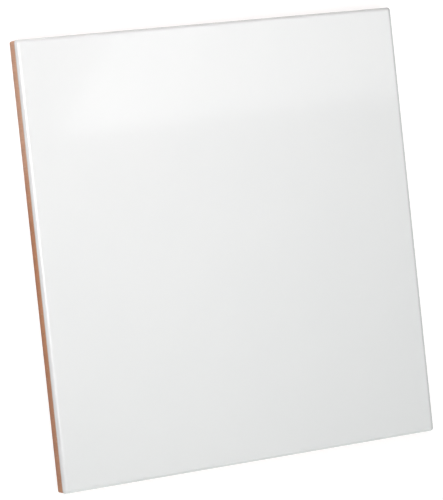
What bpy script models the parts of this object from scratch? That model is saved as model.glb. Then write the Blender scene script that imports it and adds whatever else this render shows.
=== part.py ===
"""A glazed ceramic wall tile, lying face up on its ribbed back.

Metres, +Z up. The origin is the middle of the back, on the plane that its ribs lie in.
"""

import math

import bmesh
import bpy
from mathutils import Matrix, Vector

# Plan and thickness of the finished tile, glaze included.
TILE_SIDE = 0.200
TILE_THICKNESS = 0.0070

# Corners seen from the face: at the widest part of the tile, and where the flat face ends.
CORNER_RADIUS = 0.0012
FACE_CORNER_RADIUS = 0.0005

# The soft round between the face and the sides.
ARRIS_RADIUS = 0.0018

# The glaze rolls over the round, stops a little way down the side and stands proud of the clay there.
GLAZE_RUN_DOWN = 0.0004
GLAZE_LIP = 0.00012

# The bare clay side leans in towards the back, where its last edge is broken.
SIDE_DRAFT = 0.0002
BACK_CHAMFER = 0.0003

# The back that keys into the adhesive: shallow pockets between ribs, inside a plain border.
POCKETS_PER_SIDE = 12
BORDER_WIDTH = 0.006
RIB_WIDTH = 0.0028
POCKET_DEPTH = 0.0008
POCKET_DRAFT = 0.0006
POCKET_CORNER_RADIUS = 0.0015

# Facets across a quarter turn of each round.
ARRIS_STEPS = 6
CORNER_STEPS = 4
POCKET_CORNER_STEPS = 2

GLAZE_COLOUR = (0.82, 0.84, 0.835)
GLAZE_ROUGHNESS = 0.12
CLAY_COLOUR = (0.50, 0.28, 0.19)
CLAY_ROUGHNESS = 0.85

# Heights that follow from the sizes above.
ARRIS_FOOT = TILE_THICKNESS - ARRIS_RADIUS
GLAZE_LINE = ARRIS_FOOT - GLAZE_RUN_DOWN


def clear_scene():
    for old in list(bpy.data.objects):
        bpy.data.objects.remove(old, do_unlink=True)


def ceramic_material(name, colour, roughness):
    material = bpy.data.materials.new(name)
    material.use_nodes = True
    shader = material.node_tree.nodes["Principled BSDF"]
    shader.inputs["Base Color"].default_value = (*colour, 1.0)
    shader.inputs["Metallic"].default_value = 0.0
    shader.inputs["Roughness"].default_value = roughness
    return material


def press_back(bm):
    """The pocketed middle of the back. Returns the edges of its square outline."""
    half = TILE_SIDE / 2 - BORDER_WIDTH + RIB_WIDTH / 2
    bmesh.ops.create_grid(
        bm, x_segments=POCKETS_PER_SIDE, y_segments=POCKETS_PER_SIDE, size=half
    )
    pockets = list(bm.faces)
    bmesh.ops.inset_individual(
        bm, faces=pockets, thickness=RIB_WIDTH / 2, use_even_offset=True
    )
    bmesh.ops.inset_individual(
        bm, faces=pockets, thickness=POCKET_DRAFT, depth=POCKET_DEPTH, use_even_offset=True
    )
    round_pocket_corners(bm)
    return [edge for edge in bm.edges if edge.is_boundary]


def round_pocket_corners(bm):
    """Rounds the four sloping edges that run from each pocket's mouth to its floor."""
    sloping = [
        edge
        for edge in bm.edges
        if abs(edge.verts[0].co.z - edge.verts[1].co.z) > POCKET_DEPTH / 2
    ]
    bmesh.ops.bevel(
        bm,
        geom=sloping,
        offset=POCKET_CORNER_RADIUS,
        offset_type="OFFSET",
        segments=POCKET_CORNER_STEPS,
        profile=0.5,
        affect="EDGES",
        material=-1,
    )


def add_ring(bm, inset, corner_radius, height):
    """A loop of edges: the tile's square, drawn in by the inset, with rounded corners."""
    reach = TILE_SIDE / 2 - inset - corner_radius
    verts = []
    for quarter in range(4):
        turn = Matrix.Rotation(math.radians(90 * quarter), 3, "Z")
        for step in range(CORNER_STEPS + 1):
            angle = math.radians(90) * step / CORNER_STEPS
            x = reach + corner_radius * math.cos(angle)
            y = reach + corner_radius * math.sin(angle)
            verts.append(bm.verts.new(turn @ Vector((x, y, height))))
    return [bm.edges.new((verts[i - 1], verts[i])) for i in range(len(verts))]


def side_outlines():
    """Inset, corner radius and height of each ring that the sides run through, from the back up."""
    back_inset = GLAZE_LIP + SIDE_DRAFT
    outlines = [
        (back_inset + BACK_CHAMFER, CORNER_RADIUS, 0.0),
        (back_inset, CORNER_RADIUS, BACK_CHAMFER),
        (GLAZE_LIP, CORNER_RADIUS, GLAZE_LINE),
        (0.0, CORNER_RADIUS, GLAZE_LINE + GLAZE_LIP),
        (0.0, CORNER_RADIUS, ARRIS_FOOT),
    ]
    for step in range(1, ARRIS_STEPS + 1):
        angle = math.radians(90) * step / ARRIS_STEPS
        inwards = 1 - math.cos(angle)
        corner = CORNER_RADIUS + (FACE_CORNER_RADIUS - CORNER_RADIUS) * inwards
        height = ARRIS_FOOT + ARRIS_RADIUS * math.sin(angle)
        outlines.append((ARRIS_RADIUS * inwards, corner, height))
    return outlines


def raise_sides(bm, pocket_edges):
    """The border of the back, the clay side, the glaze's lip, the rounded edge and the face."""
    rings = [add_ring(bm, *outline) for outline in side_outlines()]
    bmesh.ops.triangle_fill(bm, edges=pocket_edges + rings[0], use_beauty=True)
    for lower, upper in zip(rings, rings[1:]):
        bmesh.ops.bridge_loops(bm, edges=lower + upper)
    bmesh.ops.edgeloop_fill(bm, edges=rings[-1])


def colour_faces(bm):
    """Glaze above the line where it stops, bare clay below."""
    for face in bm.faces:
        face.material_index = 0 if face.calc_center_median().z > GLAZE_LINE else 1


def build_tile():
    bm = bmesh.new()
    pocket_edges = press_back(bm)
    raise_sides(bm, pocket_edges)
    bmesh.ops.recalc_face_normals(bm, faces=bm.faces)
    colour_faces(bm)
    mesh = bpy.data.meshes.new("tile")
    bm.to_mesh(mesh)
    bm.free()
    mesh.materials.append(ceramic_material("white_glaze", GLAZE_COLOUR, GLAZE_ROUGHNESS))
    mesh.materials.append(ceramic_material("fired_clay", CLAY_COLOUR, CLAY_ROUGHNESS))
    mesh.shade_smooth()
    mesh.set_sharp_from_angle(angle=math.radians(30))
    tile = bpy.data.objects.new("tile", mesh)
    bpy.context.collection.objects.link(tile)
    return tile


clear_scene()
build_tile()
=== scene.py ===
"""A white glazed wall tile, lying face up on its ribbed back.

Metres, +Z up. The origin is the middle of the back. To the camera, the edge towards +Y is uppermost and
the one towards -X is the left one.
"""

import math

import bmesh
import bpy
from mathutils import Euler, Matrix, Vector, noise


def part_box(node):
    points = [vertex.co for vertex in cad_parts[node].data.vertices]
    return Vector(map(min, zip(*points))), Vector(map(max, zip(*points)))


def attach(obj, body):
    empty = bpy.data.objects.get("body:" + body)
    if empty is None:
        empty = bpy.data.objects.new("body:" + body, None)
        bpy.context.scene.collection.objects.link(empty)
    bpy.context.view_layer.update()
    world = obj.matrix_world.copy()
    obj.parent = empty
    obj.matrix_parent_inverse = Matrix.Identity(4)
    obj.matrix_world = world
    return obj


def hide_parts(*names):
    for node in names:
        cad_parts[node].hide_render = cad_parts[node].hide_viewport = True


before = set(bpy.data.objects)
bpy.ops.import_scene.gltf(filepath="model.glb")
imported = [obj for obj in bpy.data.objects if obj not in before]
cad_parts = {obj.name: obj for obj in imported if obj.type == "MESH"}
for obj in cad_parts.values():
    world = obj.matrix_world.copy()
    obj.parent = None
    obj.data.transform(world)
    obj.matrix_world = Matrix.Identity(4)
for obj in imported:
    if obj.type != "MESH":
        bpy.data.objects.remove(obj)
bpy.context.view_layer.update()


# The clay body, the biscuit: red clay, pressed dry in a steel mould and fired. The mould leaves shallow
# pockets between ribs on its back, for the adhesive to key into, and sides that lean in a little towards
# the back. The body stays bare wherever the glaze doesn't reach.
low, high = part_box("tile")
HALF_SIDE = high.x
THICKNESS = high.z
CORNER_RADIUS = 0.0012
ARRIS_RADIUS = 0.0018
GLAZE_RUN_DOWN = 0.0004
GLAZE_THICKNESS = 0.00012
GLAZE_LINE = THICKNESS - ARRIS_RADIUS - GLAZE_RUN_DOWN
UNDER_GLAZE = GLAZE_THICKNESS + 0.00001
SIDE_DRAFT = 0.0002
BACK_EDGE_RADIUS = 0.0003
POCKETS_PER_SIDE = 12
BORDER_WIDTH = 0.006
RIB_WIDTH = 0.0028
POCKET_DEPTH = 0.0008
POCKET_DRAFT = 0.0006
POCKET_CORNER_RADIUS = 0.0015
POCKET_CORNER_STEPS = 4
RIB_EDGE_RADIUS = 0.00018
POCKET_FOOT_RADIUS = 0.0003
SOFT_EDGE_STEPS = 2
BODY_ROUND_STEPS = 6
FOOT_SHADE_HEIGHT = 0.0036
WASHED_HEIGHT = 0.0003
CLAY_RED = (0.56, 0.243, 0.128, 1.0)
CLAY_ORANGE = (0.68, 0.337, 0.186, 1.0)
CLAY_FOOT_SHADE = (0.33, 0.14, 0.085, 1.0)
CLAY_PALE_END = (0.90, 0.66, 0.53, 1.0)
CLAY_GROG = (0.70, 0.52, 0.40, 1.0)
CLAY_IRON = (0.22, 0.11, 0.075, 1.0)
KILN_WASH = (0.72, 0.62, 0.54, 1.0)


def soften(bm, edges, radius, segments):
    bmesh.ops.bevel(
        bm,
        geom=edges,
        offset=radius,
        offset_type="OFFSET",
        segments=segments,
        profile=0.5,
        affect="EDGES",
        material=-1,
    )


def press_pockets(bm):
    """The middle of the back: a grid of pockets, each with rounded corners and softened edges."""
    half = HALF_SIDE - BORDER_WIDTH + RIB_WIDTH / 2
    bmesh.ops.create_grid(bm, x_segments=POCKETS_PER_SIDE, y_segments=POCKETS_PER_SIDE, size=half)
    pockets = list(bm.faces)
    bmesh.ops.inset_individual(bm, faces=pockets, thickness=RIB_WIDTH / 2, use_even_offset=True)
    bmesh.ops.inset_individual(
        bm, faces=pockets, thickness=POCKET_DRAFT, depth=POCKET_DEPTH, use_even_offset=True
    )
    soften(bm, pocket_edges(bm, 0.0, POCKET_DEPTH), POCKET_CORNER_RADIUS, POCKET_CORNER_STEPS)
    soften(bm, pocket_edges(bm, 0.0, 0.0), RIB_EDGE_RADIUS, SOFT_EDGE_STEPS)
    soften(bm, pocket_edges(bm, POCKET_DEPTH, POCKET_DEPTH), POCKET_FOOT_RADIUS, SOFT_EDGE_STEPS)


def pocket_edges(bm, lower, upper):
    """The edges of the pockets' sloping walls that run between two heights."""
    found = []
    for edge in bm.edges:
        heights = sorted(vert.co.z for vert in edge.verts)
        level = all(abs(face.normal.z) > 0.99 for face in edge.link_faces)
        if abs(heights[0] - lower) + abs(heights[1] - upper) < 1e-6 and not level:
            found.append(edge)
    return found


def grow_rim(bm, rim, half, height):
    """Draws an open outline of edges on to a new size and height, with a band of faces behind it."""
    grown = bmesh.ops.extrude_edge_only(bm, edges=rim)["geom"]
    rim = [item for item in grown if isinstance(item, bmesh.types.BMEdge) and item.is_boundary]
    verts = list({vert for edge in rim for vert in edge.verts})
    reach = max(vert.co.x for vert in verts)
    level = sum(vert.co.z for vert in verts) / len(verts)
    bmesh.ops.scale(bm, vec=(half / reach, half / reach, 1.0), verts=verts)
    bmesh.ops.translate(bm, vec=(0.0, 0.0, height - level), verts=verts)
    return rim


def weigh_edges(bm, weights):
    """Gives edges their share of the arris radius, for the Bevel modifier that rounds them."""
    layer = bm.edges.layers.float.new("bevel_weight_edge")
    for edge in bm.edges:
        edge[layer] = weights(edge)


def corner_upright(edge):
    """Is this edge one of the four uprights at the tile's corners?"""
    middle = (edge.verts[0].co + edge.verts[1].co) / 2
    upright = abs(edge.verts[0].co.z - edge.verts[1].co.z) > 1e-6
    return upright and abs(abs(middle.x) - abs(middle.y)) < 1e-6 and abs(middle.x) > 0.99 * HALF_SIDE


def level_outline(edge, height):
    """Is this edge on the tile's outline, at that height?"""
    at_height = all(abs(vert.co.z - height) < 1e-6 for vert in edge.verts)
    on_side = any(abs(face.normal.z) < 0.9 for face in edge.link_faces)
    on_level = any(abs(face.normal.z) > 0.9 for face in edge.link_faces)
    return at_height and on_side and on_level


def finish_piece(bm, name, material):
    bmesh.ops.recalc_face_normals(bm, faces=bm.faces)
    mesh = bpy.data.meshes.new(name)
    bm.to_mesh(mesh)
    bm.free()
    mesh.materials.append(material)
    mesh.shade_smooth()
    piece = bpy.data.objects.new(name, mesh)
    bpy.context.scene.collection.objects.link(piece)
    return piece


def round_edges(piece, radius, segments):
    bevel = piece.modifiers.new("rounded edges", "BEVEL")
    bevel.limit_method = "WEIGHT"
    bevel.width = radius
    bevel.segments = segments
    bevel.profile = 0.5
    bevel.use_clamp_overlap = False


def new_node(tree, kind, settings, values):
    """A node in a material or world: its settings first, then its sockets' values or links."""
    node = tree.nodes.new(kind)
    for name, value in settings.items():
        setattr(node, name, value)
    for name, value in values.items():
        if isinstance(value, Wire):
            tree.links.new(value.socket, node.inputs[name])
        else:
            node.inputs[name].default_value = value
    return node


class Wire:
    """One output of a node. Sums written with it become Math nodes."""

    def __init__(self, socket):
        self.socket = socket

    def node(self, kind, settings, values, output=0):
        """One output of a new node in the same material."""
        return Wire(new_node(self.socket.id_data, kind, settings, values).outputs[output])

    def math(self, operation, *values):
        return self.node("ShaderNodeMath", {"operation": operation}, dict(enumerate(values)))

    def __add__(self, other):
        return self.math("ADD", self, other)

    def __sub__(self, other):
        return self.math("SUBTRACT", self, other)

    def __mul__(self, other):
        return self.math("MULTIPLY", self, other)

    __radd__ = __add__
    __rmul__ = __mul__

    def __rsub__(self, other):
        return self.math("SUBTRACT", other, self)

    def ramp(self, start, end):
        """0 below the start, 1 past the end, and smooth between them."""
        settings = {"interpolation_type": "SMOOTHSTEP"}
        return self.node("ShaderNodeMapRange", settings, {"Value": self, 1: start, 2: end})

    def blend(self, first, second):
        """The first colour where this is 0, the second where it is 1."""
        settings = {"data_type": "RGBA"}
        return self.node("ShaderNodeMix", settings, {"Factor": self, 6: first, 7: second}, output=2)

    def noise(self, size, detail=2.0, roughness=0.5):
        """Cloudy noise on these coordinates. The size is that of its largest lumps."""
        values = {"Vector": self, "Scale": 1 / size, "Detail": detail, "Roughness": roughness}
        return self.node("ShaderNodeTexNoise", {}, values)

    def stretched(self, factors):
        return self.node("ShaderNodeVectorMath", {"operation": "MULTIPLY"}, {0: self, 1: factors})

    def along(self, axis):
        """One coordinate of the three: 0, 1 or 2."""
        return self.node("ShaderNodeSeparateXYZ", {}, {"Vector": self}, output=axis)

    def bump(self, strength, depth):
        values = {"Height": self, "Strength": strength, "Distance": depth}
        return self.node("ShaderNodeBump", {}, values)

    def feed(self, node, name):
        self.socket.id_data.links.new(self.socket, node.inputs[name])


def new_material(name):
    """A material with its Principled shader, and the Object coordinates to pattern it with."""
    material = bpy.data.materials.new(name)
    material.use_nodes = True
    tree = material.node_tree
    coordinates = new_node(tree, "ShaderNodeTexCoord", {}, {})
    return material, tree.nodes["Principled BSDF"], Wire(coordinates.outputs["Object"])


def fired_clay():
    """Dry-pressed red clay: clouds, grain, grog, iron specks, painted foot shade, paler ends, kiln wash."""
    material, shader, place = new_material("fired_clay")
    clouds = place.noise(0.022, detail=3.0).ramp(0.35, 0.65)
    drag = place.stretched((1.0, 1.0, 0.12)).noise(0.0009, detail=3.0)
    grain = place.noise(0.00045, detail=4.0, roughness=0.65)
    colour = (clouds * 0.5 + drag * 0.35 + grain * 0.3 - 0.1).blend(CLAY_RED, CLAY_ORANGE)
    grog = place.noise(0.0011, detail=1.0).ramp(0.66, 0.74)
    colour = (grog * 0.45).blend(colour, CLAY_GROG)
    iron = place.stretched((1.0, -1.0, 1.0)).noise(0.0008, detail=1.0).ramp(0.70, 0.76)
    colour = (iron * 0.6).blend(colour, CLAY_IRON)
    # Painted shade: the side darkens towards the foot, where the floor shades it.
    painted_foot_shade = 1.0 - place.along(2).ramp(0.0002, FOOT_SHADE_HEIGHT)
    colour = (painted_foot_shade * 0.37).blend(colour, CLAY_FOOT_SHADE)
    # The side turns paler towards its ends, most towards +Y, less towards -Y.
    upper_end = place.along(1).ramp(0.012, 0.06)
    lower_end = 1.0 - place.along(1).ramp(-0.085, -0.015)
    paler_ends = (upper_end + lower_end * 0.4) * (0.2 + drag * 0.3)
    colour = paler_ends.blend(colour, CLAY_PALE_END)
    rib_tops = 1.0 - place.along(2).ramp(0.0, WASHED_HEIGHT)
    wash = place.noise(0.007, detail=5.0, roughness=0.7).ramp(0.38, 0.62)
    colour = (rib_tops * (0.25 + wash * 0.4)).blend(colour, KILN_WASH)
    colour.feed(shader, "Base Color")
    (0.82 + grain * 0.14).feed(shader, "Roughness")
    pits = 1.0 - place.noise(0.0007, detail=2.0).ramp(0.28, 0.38)
    relief = grain * 0.6 + drag * 0.5 - pits * 0.8
    relief.bump(0.55, 0.00008).feed(shader, "Normal")
    shader.inputs["Specular IOR Level"].default_value = 0.25
    return material


def make_clay_body():
    foot_inset = UNDER_GLAZE + SIDE_DRAFT
    top = THICKNESS - UNDER_GLAZE
    bm = bmesh.new()
    press_pockets(bm)
    rim = [edge for edge in bm.edges if edge.is_boundary]
    rim = grow_rim(bm, rim, HALF_SIDE - foot_inset, 0.0)
    rim = grow_rim(bm, rim, HALF_SIDE - UNDER_GLAZE, GLAZE_LINE)
    rim = grow_rim(bm, rim, HALF_SIDE - UNDER_GLAZE, top)
    bmesh.ops.edgeloop_fill(bm, edges=rim)
    bmesh.ops.recalc_face_normals(bm, faces=bm.faces)

    def weight(edge):
        if corner_upright(edge):
            return CORNER_RADIUS / ARRIS_RADIUS
        if level_outline(edge, 0.0):
            return BACK_EDGE_RADIUS / ARRIS_RADIUS
        if level_outline(edge, top):
            return 1.0 - UNDER_GLAZE / ARRIS_RADIUS
        return 0.0

    weigh_edges(bm, weight)
    piece = finish_piece(bm, "clay_body", fired_clay())
    round_edges(piece, ARRIS_RADIUS, BODY_ROUND_STEPS)
    return piece


clay_body = make_clay_body()
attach(clay_body, "root")
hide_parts("tile")


# The glaze coat: white tin glaze, poured over the face of the biscuit and melted on to it in the kiln. It
# rolls over the rounded edge, and stops a little way down the side in a thin lip that isn't quite straight.
LIP_WAVE = 0.00007
LIP_WAVELENGTH = 0.016
FACE_CUTS = 95
LIP_STEPS = 3
COAT_ROUND_STEPS = 8
ARRIS_BAND_DEPTH = 0.0004
THIN_HEIGHT = 0.001
GLAZE_WHITE = (0.836, 0.846, 0.844, 1.0)
GLAZE_CLOUD = (0.828, 0.839, 0.838, 1.0)
GLAZE_THIN_AND_SHADED = (0.71, 0.715, 0.71, 1.0)
GLAZE_SHADE_GREY = (0.45, 0.455, 0.46, 1.0)
GLAZE_THIN = (0.62, 0.55, 0.50, 1.0)


def white_glaze():
    """Glossy white, faintly clouded; thin glaze and painted shade grey the edges, most on the right."""
    material, shader, place = new_material("white_glaze")
    clouds = place.noise(0.035, detail=3.0).ramp(0.3, 0.7)
    colour = clouds.blend(GLAZE_WHITE, GLAZE_CLOUD)
    # Painted shade greys the edges' round away from the left; thin glaze greys it a little all round.
    arris_band = 1.0 - place.along(2).ramp(THICKNESS - ARRIS_BAND_DEPTH, THICKNESS - 0.00001)
    shaded_sides = place.along(0).ramp(-HALF_SIDE, -0.6 * HALF_SIDE)
    colour = (arris_band * (0.1 + shaded_sides * 0.7)).blend(colour, GLAZE_THIN_AND_SHADED)
    # Painted shade: the round of the right edge, turned from the light, greys further.
    right_edge_shade = place.along(0).ramp(HALF_SIDE - 1.15 * ARRIS_RADIUS, HALF_SIDE - 0.75 * ARRIS_RADIUS)
    colour = (right_edge_shade * 0.5).blend(colour, GLAZE_SHADE_GREY)
    thin = 1.0 - place.along(2).ramp(GLAZE_LINE, GLAZE_LINE + THIN_HEIGHT)
    colour = (thin * 0.6).blend(colour, GLAZE_THIN)
    colour.feed(shader, "Base Color")
    (0.035 + place.noise(0.02, detail=2.0) * 0.025).feed(shader, "Roughness")
    peel = place.noise(0.0035, detail=1.5) + place.noise(0.012, detail=1.0) * 2.5
    peel.bump(0.15, 0.00001).feed(shader, "Normal")
    return material


def run_unevenly(bm):
    """Lets the lower edge of the coat wander up and down a little, as it ran in the kiln."""
    for vert in bm.verts:
        if vert.co.z < THICKNESS - ARRIS_RADIUS:
            place = Vector((vert.co.x, vert.co.y, 0.0))
            wave = noise.noise(place / LIP_WAVELENGTH) + 0.4 * noise.noise(place * 3 / LIP_WAVELENGTH)
            vert.co.z += LIP_WAVE * wave


def make_glaze_coat():
    lip_top = GLAZE_LINE + GLAZE_THICKNESS
    bm = bmesh.new()
    bmesh.ops.create_grid(bm, x_segments=FACE_CUTS + 1, y_segments=FACE_CUTS + 1, size=HALF_SIDE)
    bmesh.ops.translate(bm, vec=(0.0, 0.0, THICKNESS), verts=bm.verts)
    rim = [edge for edge in bm.edges if edge.is_boundary]
    rim = grow_rim(bm, rim, HALF_SIDE, lip_top)
    for step in range(1, LIP_STEPS + 1):
        angle = math.radians(90) * step / LIP_STEPS
        half = HALF_SIDE - GLAZE_THICKNESS * (1 - math.cos(angle))
        rim = grow_rim(bm, rim, half, lip_top - GLAZE_THICKNESS * math.sin(angle))
    bmesh.ops.recalc_face_normals(bm, faces=bm.faces)

    def weight(edge):
        if corner_upright(edge):
            return CORNER_RADIUS / ARRIS_RADIUS
        return 1.0 if level_outline(edge, THICKNESS) else 0.0

    weigh_edges(bm, weight)
    run_unevenly(bm)
    piece = finish_piece(bm, "glaze_coat", white_glaze())
    round_edges(piece, ARRIS_RADIUS, COAT_ROUND_STEPS)
    solid = piece.modifiers.new("coat", "SOLIDIFY")
    solid.thickness = GLAZE_THICKNESS
    solid.offset = -1.0
    return piece


glaze_coat = make_glaze_coat()
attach(glaze_coat, "root")
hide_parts("tile")


# The floor: a wide pale table that the tile lies on. It shows as white round the tile and in the glaze,
# and keeps the tile's soft shadow.
FLOOR_HALF = 6.0
FLOOR_SEEN_DIFFUSE = 0.32
FLOOR_SEEN_GLOW = 0.79
FLOOR_ALBEDO = 0.8


def seen_directly(tree):
    """1 for rays that show the floor or sky to the eye, straight or in gloss or glass, 0 for others."""
    path = new_node(tree, "ShaderNodeLightPath", {}, {})
    camera = Wire(path.outputs["Is Camera Ray"])
    glossy = Wire(path.outputs["Is Glossy Ray"])
    clear = Wire(path.outputs["Is Transmission Ray"])
    seen = camera + glossy + clear
    return seen.math("MINIMUM", seen, 1.0)


def pale_floor():
    material = bpy.data.materials.new("pale_floor")
    material.use_nodes = True
    tree = material.node_tree
    tree.nodes.clear()
    seen = seen_directly(tree)
    grey = (FLOOR_SEEN_DIFFUSE, FLOOR_SEEN_DIFFUSE, FLOOR_SEEN_DIFFUSE, 1.0)
    pale = (FLOOR_ALBEDO, FLOOR_ALBEDO, FLOOR_ALBEDO, 1.0)
    shown = seen.node("ShaderNodeBsdfDiffuse", {}, {"Color": grey})
    glow = seen.node("ShaderNodeEmission", {}, {"Strength": FLOOR_SEEN_GLOW})
    shown = seen.node("ShaderNodeAddShader", {}, {0: shown, 1: glow})
    lit = seen.node("ShaderNodeBsdfDiffuse", {}, {"Color": pale})
    mixed = seen.node("ShaderNodeMixShader", {}, {0: seen, 1: lit, 2: shown})
    new_node(tree, "ShaderNodeOutputMaterial", {}, {"Surface": mixed})
    return material


def make_floor():
    bm = bmesh.new()
    bmesh.ops.create_grid(bm, x_segments=1, y_segments=1, size=FLOOR_HALF)
    return finish_piece(bm, "floor", pale_floor())


floor = make_floor()


# The light: a white room, a key lamp high over the left edge, a wash lamp near the upper left corner and
# a broad lamp in front of the lower edge. Two softboxes hang where the glaze mirrors them: one beyond the
# right edge, whose corner shows on the face, and one over the left edge's round, brighter at its upper end.
WORLD_FILL = 0.24


def light_room():
    world = bpy.data.worlds.new("white_room")
    world.use_nodes = True
    tree = world.node_tree
    tree.nodes.clear()
    seen = seen_directly(tree)
    white = (1.0, 1.0, 1.0, 1.0)
    fill = seen.node("ShaderNodeBackground", {}, {"Color": white, "Strength": WORLD_FILL})
    shown = seen.node("ShaderNodeBackground", {}, {"Color": white, "Strength": 1.0})
    mixed = seen.node("ShaderNodeMixShader", {}, {0: seen, 1: fill, 2: shown})
    new_node(tree, "ShaderNodeOutputWorld", {}, {"Surface": mixed})
    bpy.context.scene.world = world


def hang_lamp(name, place, target, size, power, colour, spread=180.0):
    data = bpy.data.lights.new(name, "AREA")
    data.size = size
    data.energy = power
    data.color = colour
    data.spread = math.radians(spread)
    lamp = bpy.data.objects.new(name, data)
    bpy.context.scene.collection.objects.link(lamp)
    lamp.location = place
    lamp.rotation_euler = (Vector(target) - Vector(place)).to_track_quat("-Z", "Y").to_euler()
    lamp.visible_camera = False
    lamp.visible_glossy = False


def softbox_glow(name, axis, span, glows):
    """The glow changes from the first strength to the second over a span along one axis."""
    material = bpy.data.materials.new(name)
    material.use_nodes = True
    tree = material.node_tree
    tree.nodes.clear()
    place = Wire(new_node(tree, "ShaderNodeTexCoord", {}, {}).outputs["Object"])
    fade = place.along(axis).ramp(*span)
    first = place.node("ShaderNodeEmission", {}, {"Strength": glows[0]})
    second = place.node("ShaderNodeEmission", {}, {"Strength": glows[1]})
    glow = place.node("ShaderNodeMixShader", {}, {0: fade, 1: first, 2: second})
    new_node(tree, "ShaderNodeOutputMaterial", {}, {"Surface": glow})
    return material


def hang_softbox(name, corner, along, up, glow):
    """A glowing panel, from one of its corners. Only gloss shows it."""
    bm = bmesh.new()
    first = bm.verts.new(corner)
    grown = bmesh.ops.extrude_vert_indiv(bm, verts=[first])
    bmesh.ops.translate(bm, vec=along, verts=grown["verts"])
    raised = bmesh.ops.extrude_edge_only(bm, edges=grown["edges"])["geom"]
    upper = [item for item in raised if isinstance(item, bmesh.types.BMVert)]
    bmesh.ops.translate(bm, vec=up, verts=upper)
    panel = finish_piece(bm, name, glow)
    panel.visible_camera = False
    panel.visible_diffuse = False
    panel.visible_shadow = False


light_room()
hang_lamp(
    "key",
    place=(-0.56, -0.22, 0.80),
    target=(-0.04, 0.05, 0.0),
    size=0.3,
    power=0.18,
    colour=(1.0, 1.0, 1.0),
    spread=40.0,
)
hang_lamp(
    "wash",
    place=(-0.155, 0.332, 0.415),
    target=(0.0, 0.0, 0.0),
    size=0.25,
    power=1.23,
    colour=(1.0, 0.945, 0.955),
)
hang_lamp(
    "front",
    place=(0.55, -1.3, 1.35),
    target=(0.0, 0.0, 0.0),
    size=0.6,
    power=13.9,
    colour=(0.95, 1.0, 0.985),
)
hang_softbox(
    "right_softbox",
    corner=(0.565, 0.055, 1.186),
    along=(0.306, 0.008, -0.188),
    up=(0.188, 0.300, -0.101),
    glow=softbox_glow("right_glow", axis=0, span=(0.57, 0.70), glows=(2.65, 2.15)),
)
hang_softbox(
    "left_softbox",
    corner=(-0.2, -0.24, 1.5),
    along=(0.0, 0.7, 0.0),
    up=(-0.72, 0.0, -0.63),
    glow=softbox_glow("left_glow", axis=1, span=(-0.24, 0.12), glows=(3.5, 11.5)),
)


# The camera: a long lens that looks down on the face from over the left edge, a little rolled, so that
# the lying tile shows as if it stood.
CAMERA_AIM = Vector((-0.00678, -0.00259, THICKNESS))
CAMERA_DISTANCE = 1.45216
CAMERA_TILT_X = math.radians(-2.748)
CAMERA_TILT_Y = math.radians(-31.615)
CAMERA_ROLL = math.radians(-7.489)
CAMERA_LENS = 231.3


def set_camera():
    data = bpy.data.cameras.new("camera")
    data.sensor_fit = "AUTO"
    data.sensor_width = 36.0
    data.lens = CAMERA_LENS
    camera = bpy.data.objects.new("camera", data)
    bpy.context.scene.collection.objects.link(camera)
    camera.rotation_mode = "ZYX"
    camera.rotation_euler = Euler((CAMERA_TILT_X, CAMERA_TILT_Y, CAMERA_ROLL), "ZYX")
    back = camera.rotation_euler.to_matrix() @ Vector((0.0, 0.0, 1.0))
    camera.location = CAMERA_AIM + back * CAMERA_DISTANCE
    bpy.context.scene.camera = camera


set_camera()
bpy.context.scene.view_settings.view_transform = "Standard"
